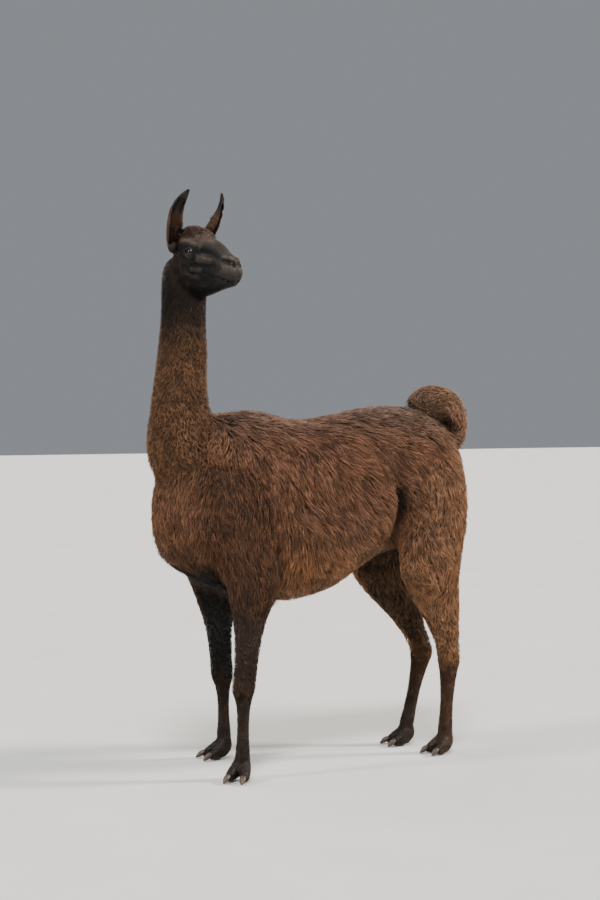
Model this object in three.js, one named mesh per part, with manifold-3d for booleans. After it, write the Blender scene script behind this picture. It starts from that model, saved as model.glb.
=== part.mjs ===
// A life-size standing llama, its neck upright and its head turned back over its left shoulder.
// Millimetres. +Z is up, the animal faces -Y and its left side is +X.
// The origin is on the floor under its middle.
import * as THREE from "three";
import { mergeVertices } from "three/addons/utils/BufferGeometryUtils.js";
import Module from "manifold-3d";

const wasm = await Module();
wasm.setup();

// ---- Driving dimensions ----
const GAP = 0.3; // clearance left between pieces that meet
const HEAD_PLACE = [75, -433, 1640]; // midway between the eyes
const HEAD_TURN = 110; // degrees from straight ahead to the animal's left
const EYE_RADIUS = 18;
const EYE_SPREAD = 47; // from the middle of the head to the middle of an eye
const KNEE_CUT = 285; // heights where the legs are parted
const HOCK_CUT = 330;
const ANKLE_CUT = 72;
const TOE_SPLAY = 6; // degrees that each toe turns out
const FAR = 4000; // bigger than the animal
const WELD = 1e-4; // points nearer than this are one point
const TENSION = 0.5; // of the curves through the sections
const EYE_DETAIL = 12; // sides of a ball
const HOLE_DETAIL = 8;

// The opening between the lids stands out from the middle of the eye.
const EYE_OPENING = { radii: [12, 16, 10], out: 18 };
const NOSTRIL = { radii: [8, 13, 5], at: [24, -143, -34] };

// The line between the lips, as y and z from its corner over its lowest bend to past the front.
const MOUTH = { corner: [-90, -80], bend: [-125, -94], front: [-170, -94], gape: 4 };

// ---- Sections of the body ----
// Each has the core's place, the half width, and the reach to the dorsal and to the ventral side.
// From the rump to the chest, dorsal is up.
const TRUNK = [
  { at: [0, 508, 905], half: 30, dorsal: 40, ventral: 40 },
  { at: [0, 490, 905], half: 105, dorsal: 150, ventral: 130 },
  { at: [0, 420, 905], half: 150, dorsal: 222, ventral: 190 },
  { at: [0, 300, 905], half: 178, dorsal: 262, ventral: 215 },
  { at: [0, 170, 880], half: 200, dorsal: 285, ventral: 225 },
  { at: [0, 30, 850], half: 216, dorsal: 287, ventral: 282, square: 2.1 },
  { at: [0, -110, 840], half: 220, dorsal: 280, ventral: 303, square: 2.1 },
  { at: [0, -240, 845], half: 210, dorsal: 300, ventral: 292, square: 2.1 },
  { at: [0, -370, 855], half: 186, dorsal: 285, ventral: 256, square: 2.1 },
  { at: [0, -470, 860], half: 152, dorsal: 200, ventral: 212, square: 2.1 },
  { at: [0, -536, 855], half: 104, dorsal: 145, ventral: 158 },
  { at: [0, -562, 855], half: 34, dorsal: 60, ventral: 66 },
];

// From the chest up to the skull, dorsal is the nape.
const NECK = [
  { at: [0, -390, 880], half: 100, dorsal: 90, ventral: 110 },
  { at: [0, -442, 960], half: 126, dorsal: 120, ventral: 134 },
  { at: [0, -478, 1060], half: 108, dorsal: 112, ventral: 112 },
  { at: [0, -488, 1180], half: 84, dorsal: 98, ventral: 90 },
  { at: [0, -478, 1320], half: 75, dorsal: 88, ventral: 82 },
  { at: [-2, -470, 1440], half: 74, dorsal: 80, ventral: 80, turn: 45 },
  { at: [-8, -466, 1550], half: 76, dorsal: 74, ventral: 76, turn: 90 },
  { at: [-14, -467, 1612], half: 66, dorsal: 60, ventral: 68, turn: 110 },
  { at: [-16, -468, 1634], half: 40, dorsal: 36, ventral: 40, turn: 110 },
];

// From the poll to the lips in the head's own frame, with y and z 0 at the eyes. Dorsal is up.
const HEAD = [
  { at: [0, 106, -20], half: 26, dorsal: 28, ventral: 36 },
  { at: [0, 90, -14], half: 50, dorsal: 72, ventral: 82 },
  { at: [0, 50, -4], half: 64, dorsal: 88, ventral: 128 },
  { at: [0, 5, 2], half: 64, dorsal: 70, ventral: 142 },
  { at: [0, -42, -8], half: 51, dorsal: 56, ventral: 124 },
  { at: [0, -84, -38], half: 38, dorsal: 66, ventral: 83, square: 2.2 },
  { at: [0, -122, -58], half: 32, dorsal: 54, ventral: 56, square: 2.4 },
  { at: [0, -149, -64], half: 30, dorsal: 42, ventral: 44, square: 2.4 },
  { at: [0, -160, -66], half: 17, dorsal: 22, ventral: 26 },
];

// From the skull to the tip, bowed outwards and turned half aside. Dorsal is the back of the ear.
const EAR = [
  { at: [54, 76, 4], half: 18, dorsal: 18, ventral: 18 },
  { at: [63, 66, 34], half: 25, dorsal: 24, ventral: 24 },
  { at: [71, 55, 62], half: 26, dorsal: 24, ventral: 24 },
  { at: [82, 40, 100], half: 25, dorsal: 20, ventral: 21 },
  { at: [87, 22, 138], half: 22, dorsal: 13, ventral: 14 },
  { at: [81, 3, 168], half: 16, dorsal: 7, ventral: 8 },
  { at: [67, -12, 196], half: 5, dorsal: 3, ventral: 3 },
];
const EAR_TURN = 32;
const EAR_HOLLOW = { half: 0.66, dorsal: 0.4, ventral: 1.9 };

// From the rump up and forwards over the croup, dorsal is the outside of the curl.
const TAIL = [
  { at: [0, 452, 985], half: 26, dorsal: 26, ventral: 26 },
  { at: [0, 494, 1040], half: 40, dorsal: 42, ventral: 36 },
  { at: [0, 506, 1105], half: 52, dorsal: 44, ventral: 50 },
  { at: [0, 482, 1162], half: 62, dorsal: 48, ventral: 56 },
  { at: [0, 425, 1180], half: 58, dorsal: 47, ventral: 52 },
  { at: [0, 370, 1172], half: 40, dorsal: 36, ventral: 30 },
  { at: [0, 332, 1164], half: 12, dorsal: 10, ventral: 8 },
];

// ---- Legs ----
// Each has its joints, and all of one kind share the sections between them. Dorsal is the front.
const LEGS = {
  fore_left: {
    joints: [[118, -345, 930], [152, -296, 640], [168, -333, 280], [173, -341, 72]],
    kind: "fore",
    footTurn: 48,
  },
  fore_right: {
    joints: [[-118, -345, 930], [-132, -318, 620], [-142, -280, 275], [-150, -274, 72]],
    kind: "fore",
    footTurn: 4,
  },
  hind_left: {
    joints: [[112, 360, 930], [146, 338, 650], [94, 440, 325], [85, 430, 72]],
    kind: "hind",
    footTurn: 14,
  },
  hind_right: {
    joints: [[-112, 350, 930], [-146, 300, 620], [-94, 440, 320], [-88, 376, 72]],
    kind: "hind",
    footTurn: 0,
  },
};
const SECTIONS = {
  fore: [
    { bone: 0, along: -0.22, half: 48, dorsal: 70, ventral: 70 },
    { bone: 0, along: 0, half: 76, dorsal: 115, ventral: 115 },
    { bone: 0, along: 0.5, half: 80, dorsal: 130, ventral: 125 },
    { bone: 1, along: 0, half: 68, dorsal: 96, ventral: 100 },
    { bone: 1, along: 0.25, half: 57, dorsal: 72, ventral: 76 },
    { bone: 1, along: 0.6, half: 46, dorsal: 47, ventral: 50 },
    { bone: 1, along: 0.88, half: 38, dorsal: 42, ventral: 42 },
    { bone: 2, along: 0, half: 38, dorsal: 42, ventral: 38 },
    { bone: 2, along: 0.22, half: 25, dorsal: 26, ventral: 26 },
    { bone: 2, along: 0.62, half: 21, dorsal: 21, ventral: 23 },
    { bone: 2, along: 1, half: 27, dorsal: 24, ventral: 27 },
    { bone: 2, along: 1.18, half: 22, dorsal: 16, ventral: 18 },
  ],
  hind: [
    { bone: 0, along: -0.22, half: 56, dorsal: 90, ventral: 80 },
    { bone: 0, along: 0, half: 84, dorsal: 106, ventral: 125 },
    { bone: 0, along: 0.5, half: 90, dorsal: 82, ventral: 136 },
    { bone: 1, along: 0, half: 80, dorsal: 116, ventral: 112 },
    { bone: 1, along: 0.35, half: 67, dorsal: 99, ventral: 85 },
    { bone: 1, along: 0.62, half: 54, dorsal: 65, ventral: 66 },
    { bone: 1, along: 0.88, half: 43, dorsal: 46, ventral: 50 },
    { bone: 2, along: 0.04, half: 36, dorsal: 42, ventral: 42 },
    { bone: 2, along: 0.3, half: 27, dorsal: 30, ventral: 32 },
    { bone: 2, along: 0.65, half: 22, dorsal: 25, ventral: 26 },
    { bone: 2, along: 1, half: 27, dorsal: 27, ventral: 27 },
    { bone: 2, along: 1.18, half: 22, dorsal: 16, ventral: 18 },
  ],
};

// In the foot's own frame, under the ankle: one toe and its nail, dorsal is up.
const TOE = [
  { at: [6, 12, 66], half: 17, dorsal: 18, ventral: 24 },
  { at: [13, -8, 48], half: 18, dorsal: 20, ventral: 42 },
  { at: [17, -34, 30], half: 18, dorsal: 17, ventral: 36 },
  { at: [19, -56, 20], half: 16, dorsal: 13, ventral: 26 },
  { at: [20, -74, 12], half: 9, dorsal: 7, ventral: 12 },
];
const NAIL = [
  { at: [19, -60, 24], half: 10, dorsal: 6, ventral: 6 },
  { at: [19.5, -74, 17], half: 10, dorsal: 8, ventral: 12 },
  { at: [20, -86, 8], half: 5, dorsal: 4, ventral: 6 },
  { at: [20, -91, 4], half: 2, dorsal: 2, ventral: 2 },
];

// ---- Materials ----
const coat = new THREE.MeshStandardMaterial({ color: "#3f271c", roughness: 0.9 });
const faceHair = new THREE.MeshStandardMaterial({ color: "#211b1b", roughness: 0.85 });
const legHair = new THREE.MeshStandardMaterial({ color: "#261a16", roughness: 0.85 });
const nailHorn = new THREE.MeshStandardMaterial({ color: "#9c8468", roughness: 0.6 });
const eyeGlass = new THREE.MeshStandardMaterial({ color: "#0d0908", roughness: 0.1 });

// ---- Solids ----
// A closed geometry as a solid for joining and cutting.
function solid(geometry) {
  const bare = new THREE.BufferGeometry();
  bare.setAttribute("position", geometry.getAttribute("position"));
  bare.setIndex(geometry.index);
  const merged = mergeVertices(bare, WELD);
  const vertProperties = merged.attributes.position.array;
  return new wasm.Manifold(new wasm.Mesh({ numProp: 3, vertProperties, triVerts: merged.index.array }));
}

// The largest body of a solid as a geometry, because a cut can leave crumbs.
function geometryOf(made) {
  const largest = made.decompose().reduce((a, b) => (a.volume() > b.volume() ? a : b));
  const mesh = largest.getMesh();
  const geometry = new THREE.BufferGeometry();
  geometry.setAttribute("position", new THREE.BufferAttribute(new Float32Array(mesh.vertProperties), 3));
  geometry.setIndex(new THREE.BufferAttribute(new Uint32Array(mesh.triVerts), 1));
  geometry.computeVertexNormals();
  return geometry;
}

// A smooth closed body through stations, with as many steps and sides as its form asks for.
// Its sections stand square to the form's axis, or to the path where the form has none.
// A station's square is 2 for an ellipse and more for a boxier section, and its turn twists the section.
function loft(stations, { sides, steps, axis }, { grow = 0, frame = new THREE.Matrix4() } = {}) {
  const through = (values) => {
    const points = stations.map((station) => new THREE.Vector3(...values(station)));
    return new THREE.CatmullRomCurve3(points, false, "catmullrom", TENSION);
  };
  const path = through((s) => s.at);
  const sizes = through((s) => [s.half, s.dorsal, s.ventral]);
  const forms = through((s) => [s.square ?? 2, s.turn ?? 0, 0]);
  const left = new THREE.Vector3(1, 0, 0);
  const points = [];
  const faces = [];
  for (let i = 0; i <= steps; i++) {
    const along = axis ?? path.getTangent(i / steps);
    const size = sizes.getPoint(i / steps);
    const form = forms.getPoint(i / steps);
    const across = left.clone().addScaledVector(along, -left.dot(along)).normalize();
    across.applyAxisAngle(along, THREE.MathUtils.degToRad(form.y));
    const dorsal = new THREE.Vector3().crossVectors(along, across);
    for (let j = 0; j < sides; j++) {
      const [x, y] = superellipse((j / sides) * 2 * Math.PI, form.x);
      const p = path.getPoint(i / steps);
      p.addScaledVector(across, x * (size.x + grow));
      p.addScaledVector(dorsal, y * ((y > 0 ? size.y : size.z) + grow));
      points.push(...p);
    }
  }
  for (let i = 0; i < steps * sides; i++) {
    const next = i % sides === sides - 1 ? i + 1 - sides : i + 1;
    faces.push(i, next, i + sides, next, next + sides, i + sides);
  }
  for (const end of [0, 1]) {
    const pole = points.length / 3;
    points.push(...path.getPoint(end).addScaledVector(axis ?? path.getTangent(end), grow * (2 * end - 1)));
    for (let j = 0; j < sides; j++) {
      const rim = [end * steps * sides + j, end * steps * sides + ((j + 1) % sides)];
      faces.push(...(end ? rim : rim.reverse()), pole);
    }
  }
  const geometry = new THREE.BufferGeometry();
  geometry.setAttribute("position", new THREE.Float32BufferAttribute(points, 3));
  geometry.setIndex(faces);
  return solid(geometry.applyMatrix4(frame));
}

function superellipse(angle, square) {
  const bend = (value) => Math.sign(value) * Math.abs(value) ** (2 / square);
  return [bend(Math.cos(angle)), bend(Math.sin(angle))];
}

// A stretched ball.
function ball(radii, at, detail) {
  const geometry = new THREE.SphereGeometry(1, detail, detail / 2);
  return solid(geometry.scale(...radii).translate(...at));
}

// All space between two heights.
function slab(bottom, top) {
  return solid(new THREE.BoxGeometry(FAR, FAR, top - bottom).translate(0, 0, (top + bottom) / 2));
}

// The same stations on the other side of the middle plane. The turn is reversed too.
function mirrored(stations, side) {
  return stations.map((s) => ({ ...s, at: [side * s.at[0], s.at[1], s.at[2]], turn: side * (s.turn ?? 0) }));
}

function cutBy(body, cutters) {
  return cutters.reduce((rest, cutter) => rest.subtract(cutter), body);
}

function mesh(name, made, material) {
  const part = new THREE.Mesh(geometryOf(made), material);
  part.name = name;
  return part;
}

// ---- Head, with its ears and eyes, in the head's own frame ----
const headGroup = new THREE.Group();
headGroup.position.set(...HEAD_PLACE);
headGroup.rotation.z = THREE.MathUtils.degToRad(HEAD_TURN);
headGroup.updateMatrix();

const headForm = { sides: 18, steps: 18, axis: new THREE.Vector3(0, -1, 0) };
const earForm = { sides: 8, steps: 8 };

function earStations(side) {
  return mirrored(EAR.map((s) => ({ ...s, turn: EAR_TURN })), side);
}

// The hollow takes the middle of the ear's width and opens through its front.
function earHollow(side) {
  const inner = earStations(side).slice(1, -1);
  const scaled = inner.map((s) => ({
    ...s,
    half: s.half * EAR_HOLLOW.half,
    dorsal: s.dorsal * EAR_HOLLOW.dorsal,
    ventral: s.ventral * EAR_HOLLOW.ventral,
  }));
  return loft(scaled, earForm);
}

function ear(side) {
  return loft(earStations(side), earForm).subtract(earHollow(side));
}

function eye(side, grow = 0) {
  const radius = EYE_RADIUS + grow;
  return ball([radius, radius, radius], [side * EYE_SPREAD, 0, 0], EYE_DETAIL);
}

function eyeOpening(side) {
  return ball(EYE_OPENING.radii, [side * (EYE_SPREAD + EYE_OPENING.out), 0, 0], HOLE_DETAIL);
}

function nostril(side) {
  const [x, y, z] = NOSTRIL.at;
  return ball(NOSTRIL.radii, [side * x, y, z], HOLE_DETAIL);
}

function mouth() {
  const { corner, bend, front, gape } = MOUTH;
  const slit = new THREE.Shape();
  slit.moveTo(...corner);
  slit.quadraticCurveTo(...bend, ...front);
  slit.lineTo(front[0], front[1] - gape);
  slit.quadraticCurveTo(bend[0], bend[1] - gape, ...corner);
  const depth = 2 * EYE_SPREAD; // right through the muzzle
  const sheet = new THREE.ExtrudeGeometry(slit, { depth, bevelEnabled: false, curveSegments: 2 });
  const upright = new THREE.Matrix4().makeBasis(
    new THREE.Vector3(0, 1, 0),
    new THREE.Vector3(0, 0, 1),
    new THREE.Vector3(1, 0, 0),
  );
  return solid(sheet.translate(0, 0, -depth / 2).applyMatrix4(upright));
}

function head() {
  const both = [-1, 1];
  const sockets = both.flatMap((side) => [eye(side, GAP), eyeOpening(side), nostril(side)]);
  const ears = both.map((side) => loft(earStations(side), earForm, { grow: GAP }));
  return cutBy(loft(HEAD, headForm), [...sockets, ...ears, mouth()]);
}

headGroup.add(mesh("head", head(), faceHair));
for (const [name, side] of [["left", 1], ["right", -1]]) {
  headGroup.add(mesh(`ear_${name}`, ear(side), faceHair));
  headGroup.add(mesh(`eye_${name}`, eye(side), eyeGlass));
}

// ---- Neck, tail and trunk ----
const neckForm = { sides: 16, steps: 14, axis: new THREE.Vector3(0, 0, 1) };
const tailForm = { sides: 12, steps: 12 };
const trunkForm = { sides: 20, steps: 18, axis: new THREE.Vector3(0, -1, 0) };

function neck(grownLegs) {
  const cutters = [loft(HEAD, headForm, { grow: GAP, frame: headGroup.matrix })];
  for (const side of [-1, 1])
    cutters.push(loft(earStations(side), earForm, { grow: GAP, frame: headGroup.matrix }));
  return cutBy(loft(NECK, neckForm), [...cutters, ...grownLegs]);
}

function trunk(grownLegs) {
  const grown = [loft(NECK, neckForm, { grow: GAP }), loft(TAIL, tailForm, { grow: GAP })];
  return cutBy(loft(TRUNK, trunkForm), [...grown, ...grownLegs]);
}

// ---- Legs ----
const legForm = { sides: 10, steps: 20, axis: new THREE.Vector3(0, 0, -1) };
const toeForm = { sides: 8, steps: 5 };
const nailForm = { sides: 6, steps: 3 };

// The sections of a leg placed along the lines between its joints.
function legStations({ joints, kind }) {
  return SECTIONS[kind].map(({ bone, along, ...size }) => {
    const [from, to] = [joints[bone], joints[bone + 1]];
    return { at: from.map((value, axis) => value + along * (to[axis] - value)), ...size };
  });
}

// The frame of one toe: under the ankle, turned with the foot and splayed.
function toeFrame(leg, side) {
  const [x, y] = leg.joints.at(-1);
  const turn = THREE.MathUtils.degToRad(leg.footTurn + side * TOE_SPLAY);
  return new THREE.Matrix4().makeRotationZ(turn).setPosition(x, y, 0);
}

function nail(leg, side, grow = 0) {
  const frame = toeFrame(leg, side);
  return loft(mirrored(NAIL, side), nailForm, { grow, frame }).intersect(slab(0, FAR));
}

function foot(leg) {
  const toes = [-1, 1].map((side) => loft(mirrored(TOE, side), toeForm, { frame: toeFrame(leg, side) }));
  const ankle = loft(legStations(leg), legForm);
  const whole = ankle.add(toes[0]).add(toes[1]).intersect(slab(0, ANKLE_CUT - GAP));
  return cutBy(whole, [nail(leg, -1, GAP), nail(leg, 1, GAP)]);
}

const llama = new THREE.Group();
const grownLegs = [];
for (const [name, leg] of Object.entries(LEGS)) {
  const whole = loft(legStations(leg), legForm);
  const parting = leg.kind === "fore" ? KNEE_CUT : HOCK_CUT;
  llama.add(mesh(`leg_${name}_upper`, whole.intersect(slab(parting, FAR)), coat));
  llama.add(mesh(`leg_${name}_lower`, whole.intersect(slab(ANKLE_CUT, parting - GAP)), legHair));
  llama.add(mesh(`foot_${name}`, foot(leg), legHair));
  const inward = name.endsWith("left") ? -1 : 1;
  llama.add(mesh(`nail_${name}_inner`, nail(leg, inward), nailHorn));
  llama.add(mesh(`nail_${name}_outer`, nail(leg, -inward), nailHorn));
  grownLegs.push(loft(legStations(leg), legForm, { grow: GAP }));
}
llama.add(mesh("trunk", trunk(grownLegs), coat));
llama.add(mesh("neck", neck(grownLegs), coat));
llama.add(mesh("tail", loft(TAIL, tailForm), coat));
llama.add(headGroup);

// The origin goes to the middle of the animal's footprint on the floor.
const bounds = new THREE.Box3().setFromObject(llama);
const middle = bounds.getCenter(new THREE.Vector3());
llama.position.set(-middle.x, -middle.y, -bounds.min.z);

export default llama;
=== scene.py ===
"""Looks of a life-size standing llama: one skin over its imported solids, eyes, nails and a coat of mesh tufts.

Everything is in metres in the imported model's frame: +Z is up, the animal faces -Y and its left side is +X.
The head also has a frame of its own: its middle is midway between the eyes, +X is the head's left, -Y is
forwards and +Z is up. RELIEF, CROWN_FROM and what in_head() gives are in that frame.
"""
import functools
import math
from typing import NamedTuple

import bmesh
import bpy
import numpy as np
import openvdb
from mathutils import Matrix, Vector, kdtree


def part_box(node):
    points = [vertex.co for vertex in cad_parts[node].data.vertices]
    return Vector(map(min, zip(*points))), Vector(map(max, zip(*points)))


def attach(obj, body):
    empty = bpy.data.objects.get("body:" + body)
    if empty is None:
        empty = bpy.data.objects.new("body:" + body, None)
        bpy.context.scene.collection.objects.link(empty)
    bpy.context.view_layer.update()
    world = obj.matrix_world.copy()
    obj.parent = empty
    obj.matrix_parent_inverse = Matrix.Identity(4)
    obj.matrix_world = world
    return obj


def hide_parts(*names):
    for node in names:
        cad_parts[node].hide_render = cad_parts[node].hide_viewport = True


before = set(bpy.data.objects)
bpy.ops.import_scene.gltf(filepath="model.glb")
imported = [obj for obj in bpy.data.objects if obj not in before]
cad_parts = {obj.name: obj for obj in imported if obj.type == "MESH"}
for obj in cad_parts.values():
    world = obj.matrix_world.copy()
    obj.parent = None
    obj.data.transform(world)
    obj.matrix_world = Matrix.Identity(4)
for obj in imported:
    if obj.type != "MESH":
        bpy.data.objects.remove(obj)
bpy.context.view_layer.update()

# ---- Nodes of flesh, by what grows on them ----
LEGS = ("fore_left", "fore_right", "hind_left", "hind_right")
GROUPS = {
    "trunk": ["trunk"],
    "neck": ["neck"],
    "head": ["head"],
    "ear": ["ear_left", "ear_right"],
    "tail": ["tail"],
    "arm": ["leg_fore_left_upper", "leg_fore_right_upper"],
    "thigh": ["leg_hind_left_upper", "leg_hind_right_upper"],
    "shank": [f"leg_{leg}_lower" for leg in LEGS],
    "foot": [f"foot_{leg}" for leg in LEGS],
}
FLESH = [node for nodes in GROUPS.values() for node in nodes]
NAILS = [f"nail_{leg}_{side}" for leg in LEGS for side in ("inner", "outer")]

# How deep the coat of each group is, and how widely the skin under it is smoothed.
COAT_DEPTH = {
    "trunk": 0.024, "neck": 0.011, "head": 0.0024, "ear": 0.0004, "tail": 0.018,
    "arm": 0.006, "thigh": 0.010, "shank": 0.003, "foot": 0.002,
}
SMOOTHING = {
    "trunk": 0.018, "neck": 0.014, "head": 0.0045, "ear": 0.0014, "tail": 0.010,
    "arm": 0.011, "thigh": 0.012, "shank": 0.007, "foot": 0.004,
}
BLEND = 0.025  # how far one group's coat runs into the next

# ---- The skin's zones ----
# The height where each begins, how fine it is and how far from the solids it is worked out.
ZONES = {
    "foot": {"from": -0.02, "step": 0.0035, "reach": 0.016},
    "shank": {"from": 0.105, "step": 0.0055, "reach": 0.034},
    "body": {"from": 0.330, "step": 0.0094, "reach": 0.056},
    "head": {"from": 1.500, "step": 0.0032, "reach": 0.034},
}
TOP = 1.90
EAR_ZONE = {"from": 1.60, "step": 0.002, "reach": 0.012}
EAR_ROOT = {"inset": 0.0015, "round": 0.022}
FACE_REACH = 0.018  # how far from the head's skin its relief is worked out
EAR_KEPT = 0.26  # the part of the ears' fine triangles that is kept
EYE_REFINING = (0.034, 0.026)  # how far round each eye the faces are halved, once for each value
MUZZLE_REFINING = {"y": -0.150, "z": -0.062, "radius": 0.062}
SEAM_GAP = 0.004  # what is left open between two zones and then bridged
SHARE_STEP = 0.010
WELD = 0.0006  # what closes the thin cuts between the solids
MIDDLE_BLUR = 0.35  # where the middle of three blurs lies between the finest and the coarsest
SETTLING = {"rounds": 4, "probe": 0.0008, "flattest": 0.3, "longest": 0.003}

# ---- The head's place ----
EYE_RADIUS = 0.018
EYES = {side: sum(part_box(f"eye_{side}"), Vector()) / 2 for side in ("left", "right")}
HEAD_MIDDLE = (EYES["left"] + EYES["right"]) / 2
HEAD_LEFT = (EYES["left"] - EYES["right"]).normalized()
HEAD_UP = Vector((0, 0, 1))
HEAD_BACK = HEAD_UP.cross(HEAD_LEFT)
HEAD_AXES = np.array([HEAD_LEFT, HEAD_BACK, HEAD_UP])


# ---- Grids of distances ----
def smooth_step(value, low, high):
    """Rises from 0 at low to 1 at high."""
    part = np.clip((value - low) / (high - low), 0, 1)
    return part * part * (3 - 2 * part)


def soup(nodes):
    """The points and triangles of some nodes, joined."""
    points, triangles, count = [], [], 0
    for node in nodes:
        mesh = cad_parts[node].data
        mesh.calc_loop_triangles()
        own_points = np.empty((len(mesh.vertices), 3), np.float32)
        own_triangles = np.empty((len(mesh.loop_triangles), 3), np.int32)
        mesh.vertices.foreach_get("co", own_points.ravel())
        mesh.loop_triangles.foreach_get("vertices", own_triangles.ravel())
        points.append(own_points)
        triangles.append(own_triangles + count)
        count += len(own_points)
    return np.concatenate(points), np.concatenate(triangles).astype(np.uint32)


def blurs(values, widths, step):
    """The values of a grid spread by Gaussians of those widths. The ends of each axis run into each other."""
    rates = [np.fft.fftfreq(n, step) for n in values.shape[:2]] + [np.fft.rfftfreq(values.shape[2], step)]
    x, y, z = np.meshgrid(*rates, indexing="ij", sparse=True)
    rate = x * x + y * y + z * z
    spectrum = np.fft.rfftn(values)
    found = []
    for width in widths:
        kept = spectrum * np.exp(-2 * (math.pi * width) ** 2 * rate)
        found.append(np.fft.irfftn(kept, s=values.shape, axes=(0, 1, 2)).astype(np.float32))
    return found


class Grid:
    """A box of evenly spaced places."""

    def __init__(self, low, high, step):
        self.step = step
        self.first = np.floor(np.array(low) / step).astype(int)
        count = np.ceil(np.array(high) / step).astype(int) - self.first + 1
        self.shape = tuple(int(n) for n in -(-count // 8) * 8)  # whole eights suit the blur
        self.corner = tuple(int(i) for i in self.first)

    def distance(self, points, faces, reach):
        """Signed distance from closed faces, exact within reach of them and level beyond it."""
        kind = "quads" if faces.shape[1] == 4 else "triangles"
        faces = faces.astype(np.uint32)
        made = openvdb.FloatGrid.createLevelSetFromPolygons(
            points, transform=self.transform(), halfWidth=reach / self.step, **{kind: faces}
        )
        values = np.empty(self.shape, np.float32)
        made.copyToArray(values, ijk=self.corner)
        return values

    def surface(self, values, level=0.0):
        """The points and quads where the values pass the level."""
        made = openvdb.FloatGrid(float(values.max()))
        made.transform = self.transform()
        made.copyFromArray(values, ijk=self.corner)
        points, quads = made.convertToQuads(isovalue=level)
        return points, quads[:, ::-1].copy()

    def transform(self):
        """What turns the grid's places into metres."""
        return openvdb.createLinearTransform(voxelSize=self.step)


class Field:
    """Values on a grid, one or several at each place, read at any points between its places."""

    def __init__(self, grid, values):
        self.grid = grid
        self.values = values

    def at(self, points):
        """The values at points, from the eight places round each."""
        place = points / self.grid.step - self.grid.first
        place = np.clip(place, 0, np.array(self.grid.shape) - 1.001)
        cell = place.astype(int)
        part = place - cell
        strides = np.array([self.grid.shape[1] * self.grid.shape[2], self.grid.shape[2], 1])
        first = cell @ strides
        flat = self.values.reshape(-1, *self.values.shape[3:])
        total = 0
        for corner in np.ndindex(2, 2, 2):
            x, y, z = (part[:, axis] if ahead else 1 - part[:, axis] for axis, ahead in enumerate(corner))
            share = x * y * z
            found = flat[first + np.dot(corner, strides)]
            total = total + (share[:, None] if found.ndim > 1 else share) * found
        return total

    def over(self, grid):
        """The values at every place of another grid."""
        values = self.values
        for axis in range(3):
            place = (np.arange(grid.shape[axis]) + grid.first[axis]) * grid.step / self.grid.step
            place = np.clip(place - self.grid.first[axis], 0, values.shape[axis] - 1.001)
            cell = place.astype(int)
            part = (place - cell).reshape([-1 if a == axis else 1 for a in range(3)]).astype(np.float32)
            values = np.take(values, cell, axis) * (1 - part) + np.take(values, cell + 1, axis) * part
        return values


def folded(points):
    """Points with those on the right moved to the same place on the left."""
    places = points.copy()
    places[:, 0] = np.abs(places[:, 0])
    return places


def slope(function, points, step):
    """The gradient of a function of points."""
    parts = []
    for axis in np.eye(3):
        parts.append((function(points + axis * step) - function(points - axis * step)) / (2 * step))
    return np.stack(parts, axis=1)


def unit(vectors):
    """Vectors brought to a length of 1."""
    return vectors / np.maximum(np.linalg.norm(vectors, axis=-1, keepdims=True), 1e-9)


def extent(nodes):
    """The lowest and the highest corner of some nodes together."""
    boxes = np.array([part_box(node) for node in nodes])
    return boxes[:, 0].min(axis=0), boxes[:, 1].max(axis=0)


class Shares:
    """Each group's share of every place, blended across its edges."""

    def __init__(self):
        low, high = extent(FLESH)
        grid = Grid(low - 3 * BLEND, high + 3 * BLEND, SHARE_STEP)
        spread = []
        for nodes in GROUPS.values():
            points, faces = soup(nodes)
            inside = grid.distance(points, faces, 3 * SHARE_STEP) < 0
            blur, = blurs(inside, [BLEND], SHARE_STEP)
            spread.append(np.maximum(blur, 0) + 1e-6)
        spread = np.stack(spread, axis=-1)
        self.field = Field(grid, spread / spread.sum(axis=-1, keepdims=True))

    def of(self, group, points):
        """One group's share of the points."""
        return self.field.at(points)[:, list(GROUPS).index(group)]

    def mix(self, table, points):
        """A value of each group, or a row of values, blended at the points."""
        found = self.field.at(points)
        total = 0
        for number, group in enumerate(GROUPS):
            value = table[group]
            total = total + (found[:, number, None] if np.ndim(value) else found[:, number]) * value
        return total

    def mixed_field(self, table):
        """A value of each group, blended at every place of the shares' grid."""
        return Field(self.field.grid, self.field.values @ np.array([table[group] for group in GROUPS]))


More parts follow.
